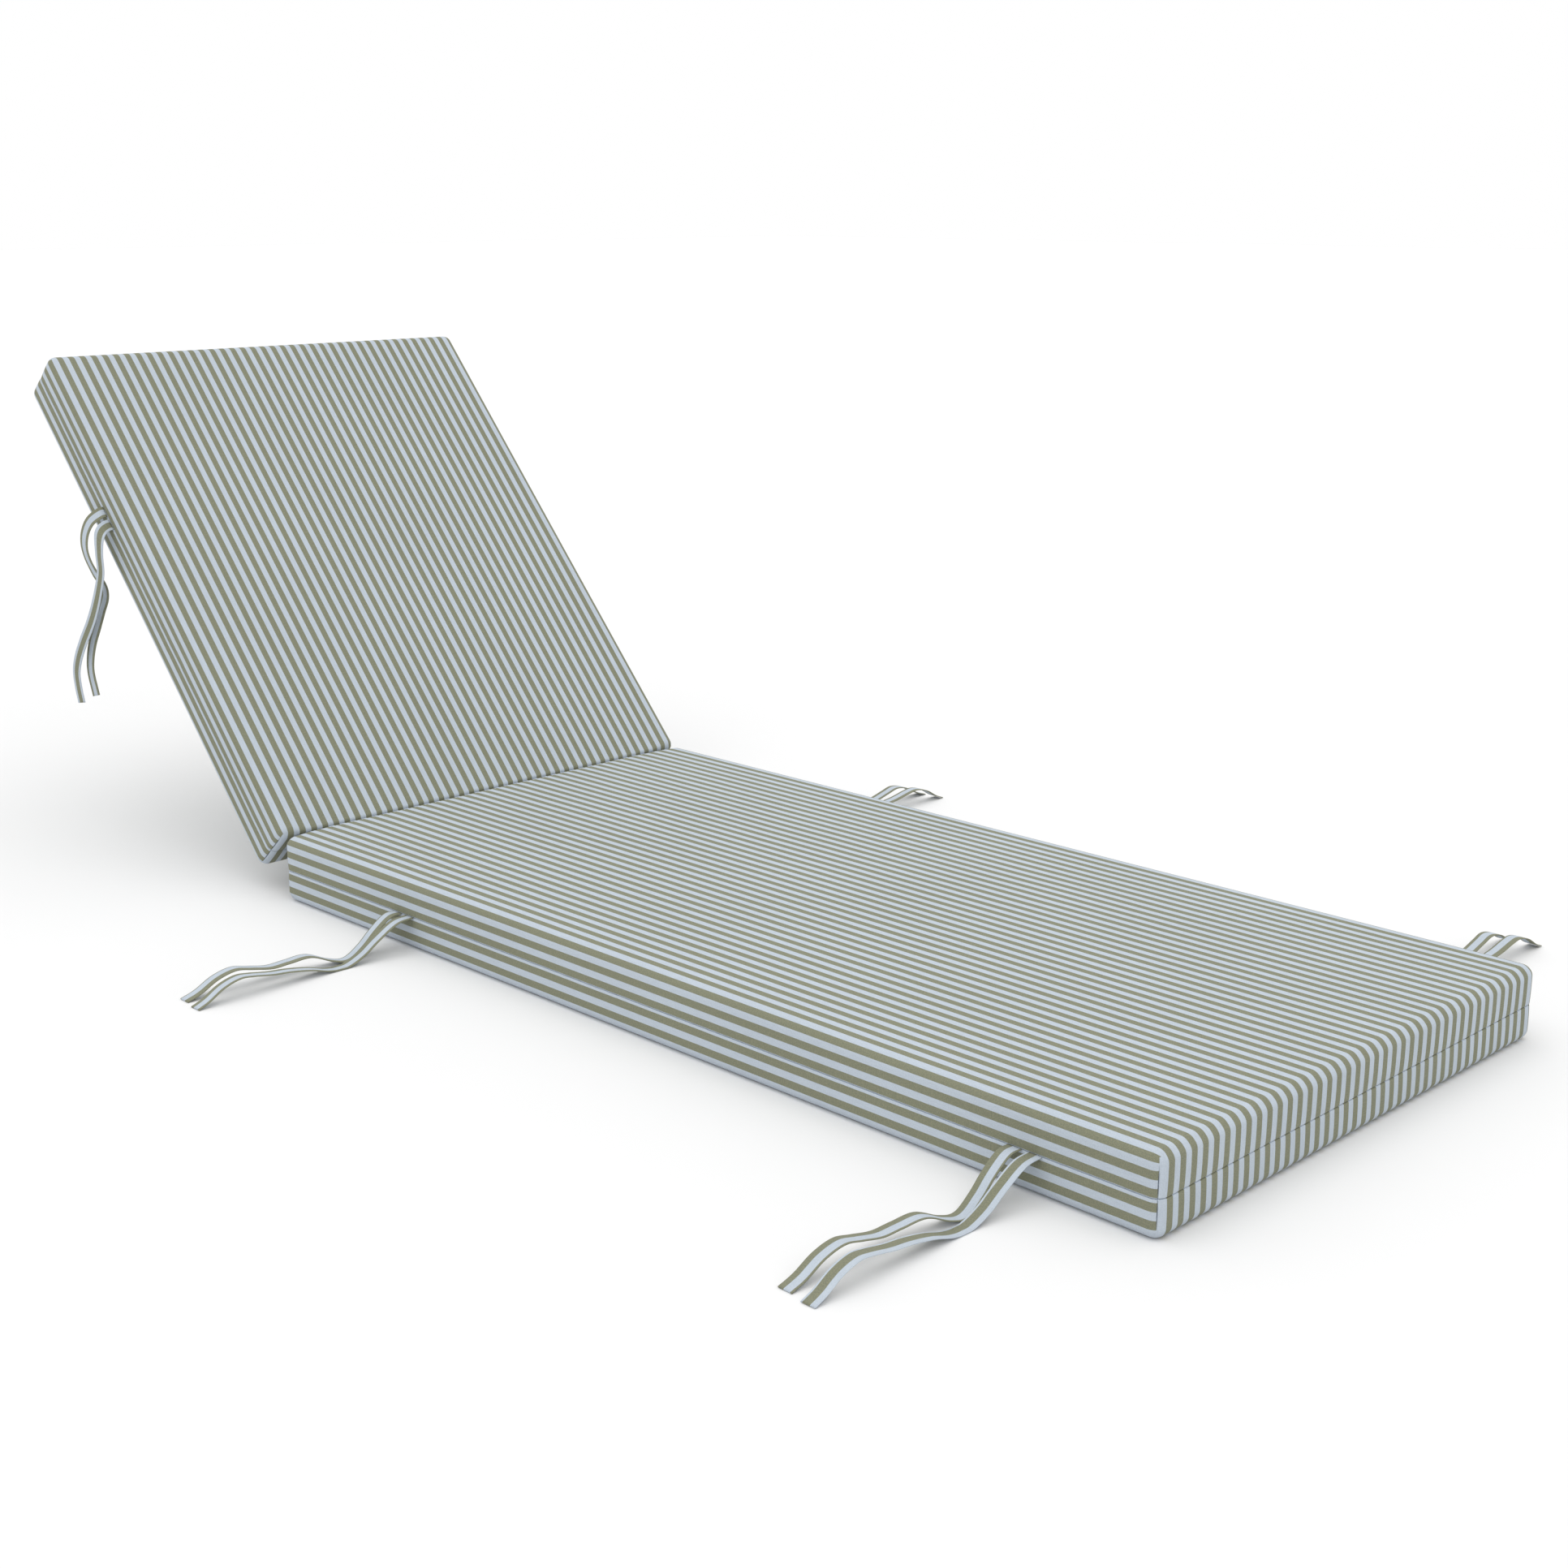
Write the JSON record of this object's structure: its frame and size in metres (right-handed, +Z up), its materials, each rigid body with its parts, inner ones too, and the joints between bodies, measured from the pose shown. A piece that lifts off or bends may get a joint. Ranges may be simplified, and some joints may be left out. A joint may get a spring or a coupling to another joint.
{
  "type": "sun lounger cushion",
  "caption": "Striped lounger cushion: a flat filled seat pad and a raised back pad joined by a sewn fold, with narrow fabric ties at the side seams.",
  "frame": {"origin": "middle of the seat pad's flat underside", "axes": "+Y from the foot end towards the head end, +Z up, +X across to the right seen from the foot end"},
  "size_m": [1.1298, 1.7425, 0.5928],
  "materials": {
    "pad_cloth": "plain woven canvas with pale blue-white and olive stripes",
    "fold_cloth": "plain woven canvas",
    "tie_cloth": "plain woven canvas with pale blue-white and olive stripes"
  },
  "bodies": {
    "root": {"seat_pad": "pad_cloth", "back_pad": "pad_cloth", "fold_strip": "fold_cloth", "tie_rear_left_a": "tie_cloth", "tie_rear_left_b": "tie_cloth", "tie_front_left_a": "tie_cloth", "tie_front_left_b": "tie_cloth", "tie_back_left_a": "tie_cloth", "tie_back_left_b": "tie_cloth", "tie_rear_right_a": "tie_cloth", "tie_rear_right_b": "tie_cloth", "tie_front_right_a": "tie_cloth", "tie_front_right_b": "tie_cloth", "tie_back_right_a": "tie_cloth", "tie_back_right_b": "tie_cloth"}
  },
  "joints": []
}
